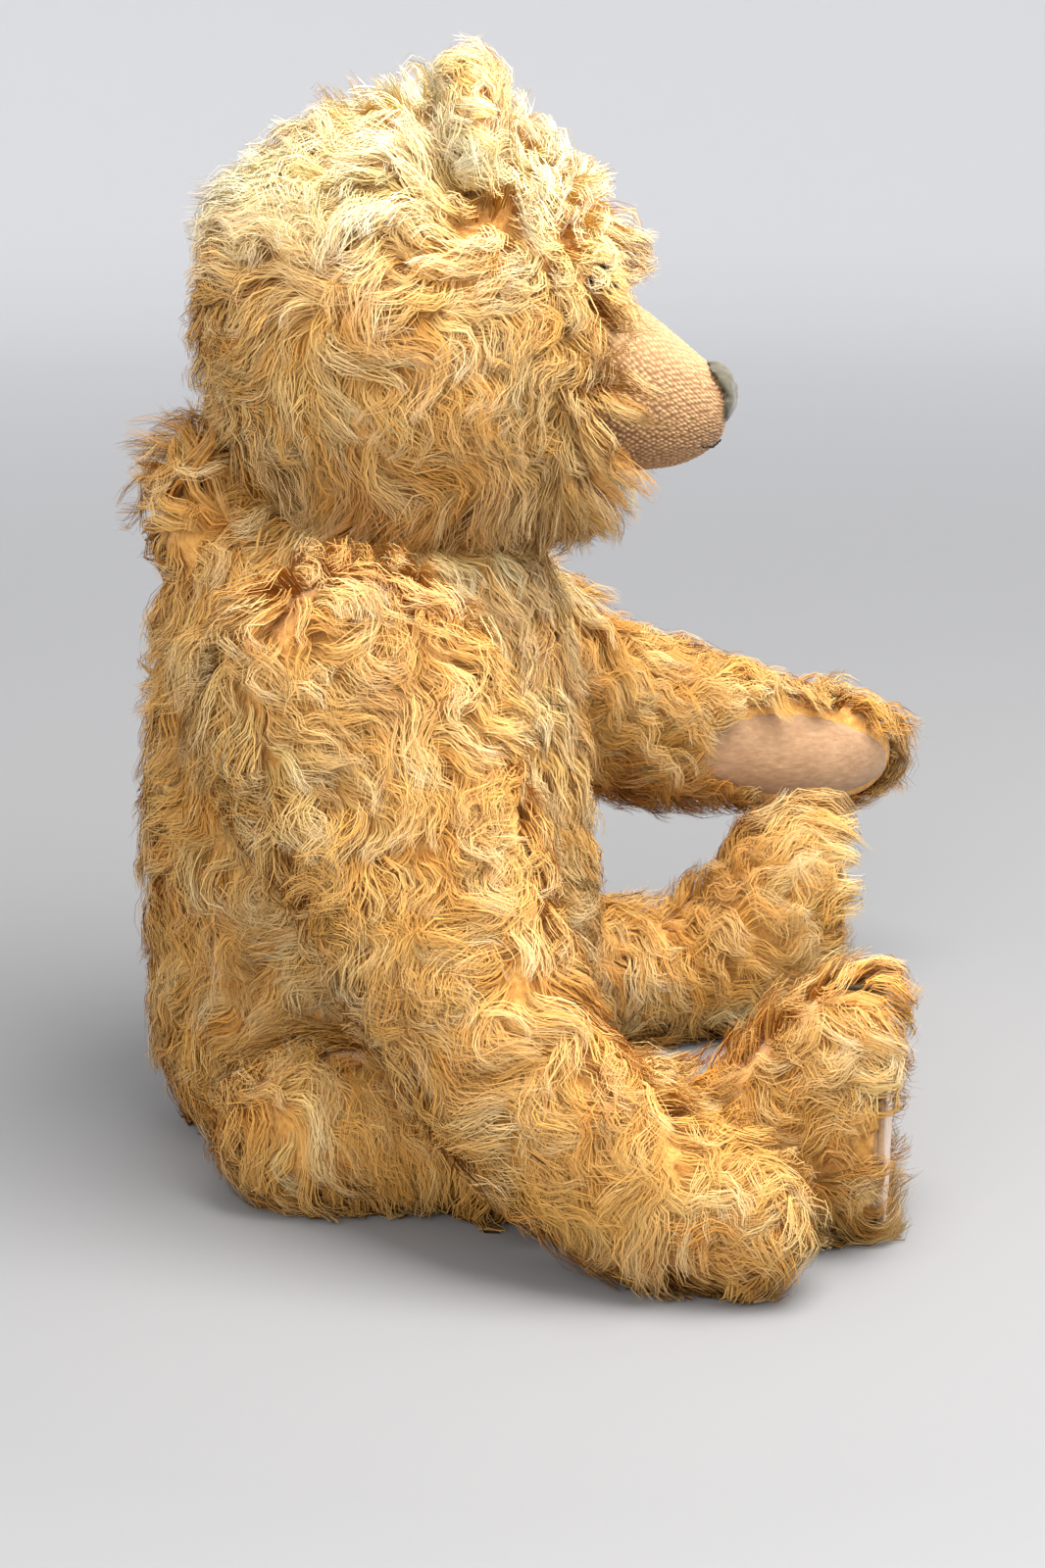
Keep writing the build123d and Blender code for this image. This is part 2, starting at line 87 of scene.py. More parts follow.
# How wide the patches are in which the fur changes
SWIRL_PATCH = 38 * MM
PHASE_PATCH = 34 * MM
WAVES_PATCH = 60 * MM
TONE_PATCH = 30 * MM
ZONE_PATCH = 22 * MM

# No lock starts this near to another body, a pad, the muzzle or an eye's middle
JOINT_GAP = 2.6 * MM
PAD_GAP = 2.6 * MM
MUZZLE_GAP = 3.4 * MM
EYE_GAP = 6.4 * MM
UNDERSIDE = 3 * MM  # skin below this that faces down gets no locks

# How high the fur stands, and how long its locks are
TORSO_RISE = 8.0 * MM
HUMP_RISE = 7.0 * MM
TORSO_LOCK = 24 * MM
HUMP_LOCK = 4 * MM  # longer than on the torso
HUMP_PUSH = 14 * MM
HEAD_RISE = 8.6  # these head values are millimetres
RING_RISE = 5.0
CHEEK_RISE = 9.0
CROWN_RISE = 8.0
EAR_FRONT_RISE = 4.0
LASH_RISE = 8.0
RUFF_RISE = 6.0
HEAD_LOCK = 23 * MM
HANGING_PUSH = 7 * MM
CHEEK_PUSH = 14 * MM
EAR_RISE = 7.0 * MM
EAR_LOCK = 17 * MM
ARM_RISE = 7.8 * MM
UPPER_ARM_RISE = 2.8 * MM
SHOULDER_RISE = 4.0 * MM
ABOVE_PAD_RISE = 5.0 * MM
ARM_LOCK = 24 * MM
LEG_RISE = 7.8 * MM
TOE_RISE = 2.0 * MM
INSTEP_RISE = {"left": 15.0 * MM, "right": 8.0 * MM}
LEG_LOCK = 22 * MM

# Heights above the ground over which the fur changes
CROWN_SWEEP = (0.285, 0.325)  # from hanging down to combed back
CROWN_TALL = (0.27, 0.315)
# Heights over which the crown's fur is painted paler: painted light from above
CROWN_PAINTED_LIGHT = (0.285, 0.318)
EAR_FRONT = (0.30, 0.33)
# Heights over which the chest's and the arms' fur is painted paler: painted light from above
CHEST_PAINTED_LIGHT = (0.12, 0.21)
ARM_PAINTED_LIGHT = (0.1, 0.19)
INSTEP_TOP = (45 * MM, 75 * MM)
SOLE_TOP = (60 * MM, 85 * MM)

# Distances over which the fur changes
HUMP_REACH = (14 * MM, 34 * MM)  # from the hump's middle
HUMP_INSET = 22 * MM  # of the hump's middle, from the back
FACE_REACH = 42 * MM  # behind the face
RING_REACH = (7 * MM, 26 * MM)  # from the muzzle
RUFF_REACH = (4 * MM, 20 * MM)  # from an ear
BESIDE_REACH = (21 * MM, 26 * MM)  # sideways from the middle, past the eyes
LASH_REACH = (12 * MM, 20 * MM)  # from an eye
BROW_REACH = (9 * MM, 27 * MM)
EYE_REACH = (7 * MM, 15 * MM)
UPPER_ARM_REACH = (60 * MM, 130 * MM)  # from the shoulder
SHOULDER_REACH = (16 * MM, 30 * MM)  # above the shoulder
PAW_REACH = (3 * MM, 18 * MM)  # from the pad
SOLE_REACH = (3 * MM, 16 * MM)
FOOT_REACH = (125 * MM, 160 * MM)  # forward of the hip
INSTEP_REACH = (95 * MM, 115 * MM)

# Muzzle, nose and mouth
MUZZLE_VOXEL = 1.5 * MM
NUB_PITCH = 2.15 * MM
NUB_HEIGHT = 0.62 * MM
SEAM_WIDTH = 1.1 * MM
NOSE_WIDENING = 1.55  # the felt wraps round the sides of the muzzle
MOUTH_THREAD = 0.42 * MM
LOOSE_THREAD = 0.2 * MM

# Felt pads
PAD_VOXEL = 1.4 * MM
PADS = [  # piece, CAD node, limb, how uneven its felt is, seed
    ("paw_felt", "paw_pad", "arm", 0.1 * MM, 41),
    ("sole_felt", "sole_pad", "leg", 0.3 * MM, 51),
]

# Studio
FLOOR_RADIUS = 2.2
CURVE_RADIUS = 0.9
CURVE_STEPS = 16
WALL_TOP = 1.3
STUDIO_SEGMENTS = 128
LAMPS = [  # name, place, width and height, watts, tint
    ("top_light", (-0.2, -0.25, 0.86), (0.7, 0.7), 19.0, (1.0, 0.985, 0.96)),
    ("side_light", (-1.9, 0.55, 1.0), (1.4, 0.9), 25.0, (1.0, 0.99, 0.98)),
]
LAMP_AIM = (0.0, 0.0, 0.15)
ROOM_TINT = (0.97, 0.98, 1.0, 1.0)
ROOM_STRENGTH = 0.95

SIDES = ("left", "right")
DOWN = np.array([0.0, 0.0, -1.0])
FRONT = np.array([0.0, -1.0, 0.0])


# ---------------------------------------------------------------- arrays and meshes

def unit(vectors):
    """Vectors brought to length 1."""
    return vectors / np.maximum(np.linalg.norm(vectors, axis=-1, keepdims=True), 1e-12)


def dot(a, b):
    """Dot products of two lists of vectors, ready to scale a vector."""
    return (a * b).sum(-1, keepdims=True)


def wavy(points, size, seed):
    """A smooth random field, mostly from -1 to 1, with bumps about as wide as size."""
    rng = np.random.default_rng(seed)
    total = np.zeros(points.shape[:-1])
    waves = 7
    for _ in range(waves):
        direction = unit(rng.normal(size=3))
        pace = 2 * pi / size * rng.uniform(0.5, 1.1)
        total += np.sin(points @ direction * pace + rng.uniform(0, 2 * pi))
    return total / sqrt(waves) * 0.9


def mesh_of(name, points, faces):
    """A smooth-shaded mesh of four-cornered faces."""
    corners = faces.ravel()
    starts = np.arange(0, faces.size, 4)
    mesh = bpy.data.meshes.new(name)
    mesh.vertices.add(len(points))
    mesh.vertices.foreach_set("co", np.ascontiguousarray(points, np.float32).ravel())
    mesh.loops.add(len(corners))
    mesh.loops.foreach_set("vertex_index", corners.astype(np.int32))
    mesh.polygons.add(len(starts))
    mesh.polygons.foreach_set("loop_start", starts.astype(np.int32))
    mesh.update(calc_edges=True)
    mesh.polygons.foreach_set("use_smooth", np.ones(len(starts), bool))
    return mesh


def dress(made, material):
    """Gives an object one material."""
    made.data.materials.clear()
    made.data.materials.append(material)


def shade_smooth(made):
    """Shades every face of an object as part of a rounded surface."""
    made.data.polygons.foreach_set("use_smooth", np.ones(len(made.data.polygons), bool))


def new_object(name, data, material=None):
    """An object in the scene: a mesh with its material, a light or a camera."""
    made = bpy.data.objects.new(name, data)
    bpy.context.scene.collection.objects.link(made)
    if material is not None:
        dress(made, material)
    return made


def settle(made):
    """Applies an object's modifiers to its mesh."""
    graph = bpy.context.evaluated_depsgraph_get()
    done = bpy.data.meshes.new_from_object(made.evaluated_get(graph))
    made.modifiers.clear()
    made.data = done


def refine(made, levels):
    """Subdivides an object's mesh and rounds it."""
    finer = made.modifiers.new("finer", "SUBSURF")
    finer.levels = levels
    finer.render_levels = levels
    settle(made)


def keep_largest(mesh):
    """Removes all but the largest island of a mesh."""
    bm = bmesh.new()
    bm.from_mesh(mesh)
    left = set(bm.verts)
    islands = []
    while left:
        start = left.pop()
        island = [start]
        edge = [start]
        while edge:
            vert = edge.pop()
            for link in vert.link_edges:
                other = link.other_vert(vert)
                if other in left:
                    left.discard(other)
                    island.append(other)
                    edge.append(other)
        islands.append(island)
    islands.sort(key=len)
    extra = [vert for island in islands[:-1] for vert in island]
    bmesh.ops.delete(bm, geom=extra, context="VERTS")
    bm.to_mesh(mesh)
    bm.free()


def shell(name, nodes, voxel, smoothing, subdivisions=0):
    """One closed, smoothed surface round some CAD nodes."""
    bm = bmesh.new()
    for node in nodes:
        bm.from_mesh(NODES[node].data)
    mesh = bpy.data.meshes.new(name)
    bm.to_mesh(mesh)
    bm.free()
    made = new_object(name, mesh)
    remesh = made.modifiers.new("remesh", "REMESH")
    remesh.mode = "VOXEL"
    remesh.voxel_size = voxel
    smooth = made.modifiers.new("smooth", "SMOOTH")
    smooth.factor = 0.5
    smooth.iterations = smoothing
    settle(made)
    keep_largest(made.data)
    if subdivisions:
        refine(made, subdivisions)
    shade_smooth(made)
    return made


def points_of(mesh):
    """A mesh's points and normals, as arrays."""
    points = np.empty((len(mesh.vertices), 3), np.float32)
    mesh.vertices.foreach_get("co", points.ravel())
    normals = np.empty((len(mesh.vertices), 3), np.float32)
    mesh.vertex_normals.foreach_get("vector", normals.ravel())
    return points.astype(float), normals.astype(float)


class Skin:
    """A surface's points, normals and triangles as arrays, with a search tree."""

    def __init__(self, mesh):
        mesh.calc_loop_triangles()
        self.points, self.normals = points_of(mesh)
        self.triangles = np.empty((len(mesh.loop_triangles), 3), np.int32)
        mesh.loop_triangles.foreach_get("vertices", self.triangles.ravel())
        self.tree = tree_of(self.points)

    def near(self, points):
        """The places on the surface nearest to some points, and its normals there."""
        found = np.array([self.tree.find(point)[1] for point in points], int)
        normals = self.normals[found]
        return points - dot(points - self.points[found], normals) * normals, normals

    def scatter(self, spacing, rng):
        """Points spread over the surface, about that far apart."""
        corners = self.points[self.triangles]
        first = corners[:, 1] - corners[:, 0]
        second = corners[:, 2] - corners[:, 0]
        areas = np.linalg.norm(np.cross(first, second), axis=1) / 2
        count = int(areas.sum() / spacing**2 * SCATTER_TRIES)
        chosen = rng.choice(len(areas), count, p=areas / areas.sum())
        shares = rng.random((count, 2))
        folded = shares.sum(1) > 1
        shares[folded] = 1 - shares[folded]
        points = corners[chosen, 0] + first[chosen] * shares[:, :1] + second[chosen] * shares[:, 1:]
        cells = np.floor(points / (spacing * CELL_WIDTH)).astype(int)
        kept = np.unique(cells, axis=0, return_index=True)[1]
        return points[np.sort(kept)]


def tree_of(points):
    """A search tree of points."""
    tree = KDTree(len(points))
    for index, point in enumerate(points):
        tree.insert(point, index)
    tree.balance()
    return tree


def distances(points, tree):
    """How far each point is from the nearest one in the tree."""
    return np.array([tree.find(point)[2] for point in points])


def node_points(node):
    """Points spread over a CAD node's surface."""
    return Skin(NODES[node].data).scatter(SAMPLE_SPACING, np.random.default_rng(7))


def node_middle(node):
    """The middle of a CAD node's box."""
    low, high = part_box(node)
    return (low + high) / 2


# ---------------------------------------------------------------- materials

def colour(red, green, blue):
    """A colour given in the usual 0 to 255, as the shader's linear values."""
    linear = []
    for value in (red, green, blue):
        share = value / 255
        linear.append(share / 12.92 if share <= 0.04045 else ((share + 0.055) / 1.055) ** 2.4)
    return (*linear, 1.0)


class Paint:
    """A material under construction, with short ways to add its nodes."""

    def __init__(self, name, **sockets):
        self.material = bpy.data.materials.new(name)
        self.material.use_nodes = True
        self.nodes = self.material.node_tree.nodes
        self.links = self.material.node_tree.links
        self.shader = self.nodes["Principled BSDF"]
        for socket, value in sockets.items():
            self.shader.inputs[socket.replace("_", " ")].default_value = value

    def node(self, kind, **settings):
        """A new shader node with some settings."""
        made = self.nodes.new(kind)
        for name, value in settings.items():
            setattr(made, name, value)
        return made

    def link(self, out, into):
        """Joins an output to an input."""
        self.links.new(out, into)

    def noise(self, scale, detail=4.0, stretch=None):
        """A noise value from 0 to 1, in the piece's own space."""
        place = self.node("ShaderNodeTexCoord").outputs["Object"]
        if stretch is not None:
            mapping = self.node("ShaderNodeMapping")
            mapping.inputs["Scale"].default_value = stretch
            self.link(place, mapping.inputs["Vector"])
            place = mapping.outputs["Vector"]
        made = self.node("ShaderNodeTexNoise")
        made.inputs["Scale"].default_value = scale
        made.inputs["Detail"].default_value = detail
        self.link(place, made.inputs["Vector"])
        return made.outputs["Fac"]

    def ramp(self, value, *stops):
        """Colours or greys for a value; each stop is its place and its colour."""
        made = self.node("ShaderNodeValToRGB")
        bar = made.color_ramp.elements
        while len(bar) < len(stops):
            bar.new(0.5)
        for element, (place, tint) in zip(bar, stops):
            element.position = place
            element.color = tint
        self.link(value, made.inputs["Fac"])
        return made.outputs["Color"]

    def span(self, value, low, high, start=0.0, end=1.0):
        """A value brought from start..end to low..high."""
        made = self.node("ShaderNodeMapRange")
        made.inputs["From Min"].default_value = start
        made.inputs["From Max"].default_value = end
        made.inputs["To Min"].default_value = low
        made.inputs["To Max"].default_value = high
        self.link(value, made.inputs["Value"])
        return made.outputs["Result"]

    def mix(self, first, second, share, kind="MIX"):
        """Two colours mixed; share is a value or a number."""
        made = self.node("ShaderNodeMix", data_type="RGBA", blend_type=kind)
        for socket, value in ((6, first), (7, second), (0, share)):
            if isinstance(value, (tuple, float)):
                made.inputs[socket].default_value = value
            else:
                self.link(value, made.inputs[socket])
        return made.outputs[2]

    def bump(self, value, distance, strength=1.0):
        """Bumps as high as distance where the value is 1."""
        made = self.node("ShaderNodeBump")
        made.inputs["Distance"].default_value = distance
        made.inputs["Strength"].default_value = strength
        self.link(value, made.inputs["Height"])
        self.link(made.outputs["Normal"], self.shader.inputs["Normal"])

    def done(self, tint, roughness):
        """The material, with its colour and roughness joined."""
        self.link(tint, self.shader.inputs["Base Color"])
        self.link(roughness, self.shader.inputs["Roughness"])
        return self.material


def fur_material():
    """Curly mohair: honey-brown roots, gold lengths and cream tips, with each strand a little different. The
    darker roots are painted shade deep in the pile, and the paler colour that the zone mixes in is, on the
    crown, chest and arm tops, painted light from above.
    """
    paint = Paint("mohair_locks", Specular_IOR_Level=0.25)
    facts = paint.node("ShaderNodeAttribute", attribute_name="fur")
    parts = paint.node("ShaderNodeSeparateColor")
    paint.link(facts.outputs["Color"], parts.inputs["Color"])
    along, lock, strand = parts.outputs
    # Root to tip: the darker roots are painted shade deep in the pile
    warm = paint.ramp(
        along,
        (0.0, colour(210, 150, 68)),
        (0.3, colour(220, 163, 78)),
        (0.62, colour(225, 172, 88)),
        (1.0, colour(236, 194, 116)),
    )
    # The pale colour, mixed in by the zone; on the crown, chest and arm tops it is painted light from above
    pale = paint.ramp(
        along,
        (0.0, colour(250, 214, 134)),
        (0.3, colour(255, 232, 158)),
        (0.62, colour(255, 244, 192)),
        (1.0, colour(255, 252, 226)),
    )
    tint = paint.mix(warm, pale, facts.outputs["Alpha"])
    tint = paint.mix(tint, colour(222, 150, 66), paint.span(lock, 0.45, 0.0, 0.0, 0.5))
    shade = paint.ramp(strand, (0.0, colour(222, 216, 206)), (1.0, colour(255, 255, 255)))
    tint = paint.mix(tint, shade, 1.0, "MULTIPLY")
    drift = paint.ramp(paint.noise(45.0), (0.3, colour(236, 226, 214)), (0.7, colour(255, 255, 255)))
    tint = paint.mix(tint, drift, 1.0, "MULTIPLY")
    return paint.done(tint, paint.span(strand, 0.55, 0.75))


def underfur_material():
    """The cloth that the locks grow from, in the shade between them."""
    paint = Paint("mohair_ground", Sheen_Weight=0.25, Sheen_Roughness=0.5)
    grain = paint.noise(420.0)
    tint = paint.ramp(grain, (0.3, colour(196, 134, 56)), (0.7, colour(232, 176, 90)))
    paint.bump(paint.noise(900.0, stretch=(1.0, 1.0, 0.25)), 1.2 * MM)
    return paint.done(tint, paint.span(grain, 0.95, 0.75))


def muzzle_material():
    """Short nubby cloth: pale nubs on a tan-pink ground. The ground deep between the nubs is painted darker
    than its own tan as painted shade in the hollows, and the top is painted paler as painted light from
    above.
    """
    paint = Paint("muzzle_cloth", Sheen_Weight=0.3, Sheen_Roughness=0.4)
    facts = paint.node("ShaderNodeAttribute", attribute_name="nub")
    tint = paint.ramp(
        facts.outputs["Fac"],
        (0.0, colour(122, 84, 52)),
        (0.4, colour(170, 130, 88)),
        (0.75, colour(204, 168, 118)),
        (1.0, colour(230, 204, 158)),
    )
    fine = paint.noise(1500.0)
    shade = paint.ramp(fine, (0.3, colour(222, 214, 206)), (0.7, colour(255, 255, 255)))
    tint = paint.mix(tint, shade, 1.0, "MULTIPLY")
    paint.bump(fine, 0.25 * MM, 0.6)
    return paint.done(tint, paint.span(fine, 0.95, 0.75))


def felt_material(name, dark, light, fleck):
    """Felt: fine matted fibres in two close tones, with a soft sheen."""
    paint = Paint(name, Sheen_Weight=0.35, Sheen_Roughness=0.45)
    fibres = paint.noise(650.0, 6.0, stretch=(1.0, 0.35, 1.0))
    tint = paint.ramp(fibres, (0.28, dark), (0.62, light), (0.85, fleck))
    cloud = paint.ramp(paint.noise(60.0), (0.3, colour(232, 228, 224)), (0.7, colour(255, 255, 255)))
    tint = paint.mix(tint, cloud, 1.0, "MULTIPLY")
    paint.bump(fibres, 0.3 * MM, 0.7)
    return paint.done(tint, paint.span(fibres, 0.95, 0.78))


def plain_material(name, dark, light, scale, rough, bump=0.1 * MM, stretch=None, **sockets):
    """A two-tone grained surface, for the pieces inside the bear and the small hard ones."""
    paint = Paint(name, **sockets)
    grain = paint.noise(scale, 5.0, stretch)
    paint.bump(grain, bump, 0.6)
    return paint.done(paint.ramp(grain, (0.3, dark), (0.7, light)), paint.span(grain, *rough))


FUR = fur_material()
GROUND = underfur_material()
MUZZLE = muzzle_material()
PAD_FELT = felt_material("pad_felt", colour(158, 124, 90), colour(178, 142, 106), colour(196, 164, 128))
NOSE_FELT = felt_material("nose_felt_wool", colour(50, 47, 34), colour(80, 76, 57), colour(112, 107, 84))
THREAD = plain_material(
    "embroidery_thread", colour(40, 33, 22), colour(68, 58, 40), 900.0, (0.8, 0.6), Specular_IOR_Level=0.2
)
EYE = plain_material(
    "eye_gloss", colour(10, 7, 5), colour(26, 16, 10), 120.0, (0.06, 0.12), 0.01 * MM, Coat_Weight=0.6
)
STUFFING = plain_material(
    "wood_wool", colour(176, 140, 84), colour(226, 200, 148), 260.0, (0.95, 0.8), 1.2 * MM, (1.0, 1.0, 0.2)
)
BOARD = plain_material(
    "pressed_fibreboard", colour(92, 62, 38), colour(140, 102, 66), 380.0, (0.85, 0.7), 0.15 * MM
)
STEEL = plain_material(
    "zinc_steel", colour(150, 152, 155), colour(190, 192, 195), 500.0, (0.38, 0.24), 0.02 * MM,
    (1.0, 1.0, 12.0), Metallic=1.0
)

CAD_LOOKS = [  # what a CAD node's name holds, and the look it gets
    ("stuffing", STUFFING),
    ("_disc", BOARD),
    ("_bolt", STEEL),
    ("_washers", STEEL),
    ("_nut", STEEL),
    ("shanks", STEEL),
    ("stitches", THREAD),
    ("eye", EYE),
    ("nose", NOSE_FELT),
    ("muzzle", MUZZLE),
    ("_pad", PAD_FELT),
]


def dress_cad_nodes():
    """Gives every CAD node its procedural look."""
    for name, node in NODES.items():
        look = GROUND
        for part, material in CAD_LOOKS:
            if part in name:
                look = material
                break
        dress(node, look)


# ---------------------------------------------------------------- fur

def along_lock():
    """Shares of a lock's length at its points, from root to tip."""
    return np.linspace(0.0, 1.0, STEPS)


def comb(skin, roots, normals, heading, heights, lengths, curl, others, seed, swirl):
    """The lines that locks follow over a skin, and the skin's normals along them."""
    rng = np.random.default_rng(seed)
    count = len(roots)
    heading = unit(heading - dot(heading, normals) * normals)
    side = np.cross(normals, heading)
    turn = wavy(roots, SWIRL_PATCH, seed + 1) * swirl + rng.normal(0, 0.22, count)
    heading = heading * np.cos(turn)[:, None] + side * np.sin(turn)[:, None]
    phase = wavy(roots, PHASE_PATCH, seed + 2) * 3.0 + rng.normal(0, 0.35, count)
    waves = WAVES_PER_LOCK + 0.25 * wavy(roots, WAVES_PATCH, seed + 3)
    lift_phase = phase * 0.7 + rng.normal(0, 0.8, count)
    curl = curl * rng.uniform(0.65, 1.15, count)
    lines = np.empty((count, STEPS, 3))
    ups = np.empty((count, STEPS, 3))
    lines[:, 0] = roots
    ups[:, 0] = normals
    place = roots
    for step, share in enumerate(along_lock()[1:], 1):
        side = np.cross(normals, heading)
        angle = curl * np.sin(2 * pi * waves * share + phase) * min(1.0, 2.5 * share)
        direction = heading * np.cos(angle)[:, None] + side * np.sin(angle)[:, None]
        slope = np.sqrt(np.clip(1 - (heights / lengths) ** 2, 0.15, 1))
        place, normals = skin.near(place + direction * (lengths * slope / (STEPS - 1))[:, None])
        heading = unit(heading - dot(heading, normals) * normals)
        rise = heights * (1 - (1 - share) ** 1.9)
        rise = rise + 0.2 * heights * np.sin(2 * pi * waves * share * 1.3 + lift_phase) * share
        if others is not None:
            rise = np.minimum(rise, 0.9 * distances(place, others) + TIP_GAP)
        lines[:, step] = place + normals * rise[:, None]
        ups[:, step] = normals
    return lines, ups


def gather(lines, roots, spacing, seed, strength):
    """Pulls the tips of neighbouring locks together into tufts."""
    rng = np.random.default_rng(seed)
    cells = np.floor((roots + rng.uniform(0, spacing, 3)) / spacing).astype(int)
    guides = np.unique(cells, axis=0, return_index=True)[1]
    tree = tree_of(roots[guides])
    mine = guides[np.array([tree.find(root)[1] for root in roots])]
    pull = strength * rng.uniform(0.35, 1.15, len(roots))[:, None] * along_lock() ** 1.4
    return lines + (lines[mine] - lines) * np.clip(pull, 0, 0.9)[:, :, None]


def lock_parts(lines, ups, radii, seed):
    """The fine strands of each lock, as two rows of points each, and the way each strand is lit."""
    rng = np.random.default_rng(seed)
    count = len(lines)
    share = along_lock()
    ahead = unit(np.gradient(lines, axis=1))
    across = unit(np.cross(ahead, ups))
    out = unit(np.cross(across, ahead))
    swell = (0.55 + 0.45 * np.sin(pi * np.minimum(share * 1.15, 1.0))) * (1 - 0.6 * share**2)
    radius = radii[:, None] * swell + CORE_RADIUS

    spin = rng.uniform(0, 2 * pi, (count, STRANDS, 1)) + share * rng.normal(0, 1.5, (count, STRANDS, 1))
    reach = np.sqrt(rng.uniform(0.15, 1.0, (count, STRANDS, 1))) * 1.15
    stray = rng.random((count, STRANDS, 1)) < STRAY_SHARE
    reach = np.where(stray, reach * (1.0 + 0.9 * share), reach)
    spread = radius[:, None, :] * reach + np.where(stray, STRAY_REACH * share**1.5, 0.0)
    centre = (
        lines[:, None]
        + across[:, None] * (np.cos(spin) * spread)[..., None]
        + out[:, None] * (np.sin(spin) * spread * 0.65 + 0.25 * MM)[..., None]
    )
    frizz_pace = rng.uniform(3.0, 9.0, (count, STRANDS, 1))
    frizz_start = rng.uniform(0, 2 * pi, (count, STRANDS, 1))
    frizz = share * rng.uniform(0.2, 1.0, (count, STRANDS, 1)) ** 2 * FRIZZ
    centre = centre + across[:, None] * (frizz * np.sin(frizz_pace * share + frizz_start))[..., None]
    centre = centre + out[:, None] * (frizz * np.cos(frizz_pace * share * 0.8 + frizz_start))[..., None]
    stretch = rng.uniform(-0.08, 0.16, (count, STRANDS, 1))
    centre = centre + (ahead[:, None] * (stretch * share**2 * TIP_STRETCH)[..., None])
    roll = rng.normal(0, 0.55, (count, STRANDS, 1)) + share * rng.normal(0, 0.8, (count, STRANDS, 1))
    edge = across[:, None] * np.cos(roll)[..., None] + out[:, None] * np.sin(roll)[..., None]
    width = STRAND_HALF_WIDTH * rng.uniform(0.6, 1.25, (count, STRANDS, 1))
    width = width * np.clip(radii / LOCK_RADIUS, 0.3, 1.2)[:, None, None] * (1.0 - 0.85 * share**1.7)
    strands = np.stack([centre - edge * width[..., None], centre + edge * width[..., None]], 3)
    sideways = across[:, None] * (np.cos(spin) * reach * 0.35)[..., None]
    shade = out[:, None] * 0.6 + ups[:, None] * 0.8 + sideways
    return strands, unit(shade)


def grid_uv(count, cells_wide, inner_columns, inner_rows):
    """Places in one square picture for many equal strips, each in its own cell."""
    cell = np.arange(count)
    corner = np.stack([cell % cells_wide, cell // cells_wide], 1) / cells_wide
    inner = np.stack(np.meshgrid(inner_columns, inner_rows, indexing="xy"), -1) / cells_wide
    return corner[:, None, None, :] + inner[None]


def fur_piece(name, body, strands, shade, tone, zone, seed):
    """One piece of fur: the strands of its locks as a mesh that rides on a body."""
    rng = np.random.default_rng(seed)
    count = len(strands)
    share = along_lock()
    points = strands.reshape(-1, 3)
    points[:, 2] = np.maximum(points[:, 2], FLOOR_CLEARANCE * rng.uniform(1.0, 4.0, len(points)))
    strip = np.arange(count * STRANDS)[:, None] * STEPS * 2
    pair = np.arange(STEPS - 1)[None] * 2
    faces = np.stack([strip + pair, strip + pair + 1, strip + pair + 3, strip + pair + 2], -1).reshape(-1, 4)
    mesh = mesh_of(name, points, faces)

    facts = np.empty((len(points), 4), np.float32)
    facts[:, 0] = np.broadcast_to(share[None, None, :, None], (count, STRANDS, STEPS, 2)).ravel()
    facts[:, 1] = np.repeat(tone, STRANDS * STEPS * 2)
    facts[:, 2] = np.repeat(rng.random(count * STRANDS), STEPS * 2)
    facts[:, 3] = np.repeat(zone, STRANDS * STEPS * 2)
    mesh.attributes.new("fur", "FLOAT_COLOR", "POINT").data.foreach_set("color", facts.ravel())

    total = count * STRANDS
    point_uv = grid_uv(total, ceil(sqrt(total)), np.array([0.15, 0.85]), 0.1 + 0.8 * share).reshape(-1, 2)
    layer = mesh.uv_layers.new(name="OFBake")
    layer.uv.foreach_set("vector", point_uv[faces.ravel()].astype(np.float32).ravel())
    normals = np.repeat(shade[:, :, :, None], 2, axis=3).reshape(-1, 3)
    mesh.normals_split_custom_set_from_vertices(normals)

    made = new_object(name, mesh, FUR)
    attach(made, body)
    return made


def grow(name, body, skin, roots, normals, heading, heights, lengths, zone, others, seed,
         curl=0.95, radius=LOCK_RADIUS, tuft=TUFT_SPACING, swirl=0.8, gathered=0.5, push=None):
    """Grows locks of mohair on a skin, in as many pieces as they need."""
    rng = np.random.default_rng(seed + 50)
    lines, ups = comb(skin, roots, normals, heading, heights, lengths, curl, others, seed, swirl)
    lines = gather(lines, roots, tuft, seed + 60, gathered)
    if push is not None:
        lines = lines + push[:, None, :] * (along_lock() ** 1.5)[None, :, None]
    radii = radius * rng.uniform(0.65, 1.2, len(roots))
    strands, shade = lock_parts(lines, ups, radii, seed + 70)
    tone = 0.45 + 0.3 * wavy(roots, TONE_PATCH, seed + 80) + rng.normal(0, 0.22, len(roots))
    tone = np.clip(tone, 0, 1)
    zone = zone + rng.normal(0, 0.16, len(roots)) + 0.16 * wavy(roots, ZONE_PATCH, seed + 90)
    zone = np.clip(zone, 0, 1)
    order = np.argsort(-roots[:, 2], kind="stable")
    pieces = ceil(len(order) / LOCKS_PER_PIECE)
    for number, chosen in enumerate(np.array_split(order, pieces), 1):
        title = f"{name}_{number}" if pieces > 1 else name
        fur_piece(title, body, strands[chosen], shade[chosen], tone[chosen], zone[chosen], seed + number)


# ---------------------------------------------------------------- skins

PANELS = {
    "torso": ["torso_left_panel", "torso_right_panel"],
    "head": ["head_left_panel", "head_right_panel", "head_gusset"],
}
FILLINGS = {"torso": "torso_stuffing", "head": "head_stuffing"}
for hand in SIDES:
    for limb in ("arm", "leg"):
        PANELS[f"{hand}_{limb}"] = [f"{hand}_{limb}_outer_panel", f"{hand}_{limb}_inner_panel"]
        FILLINGS[f"{hand}_{limb}"] = f"{hand}_{limb}_stuffing"

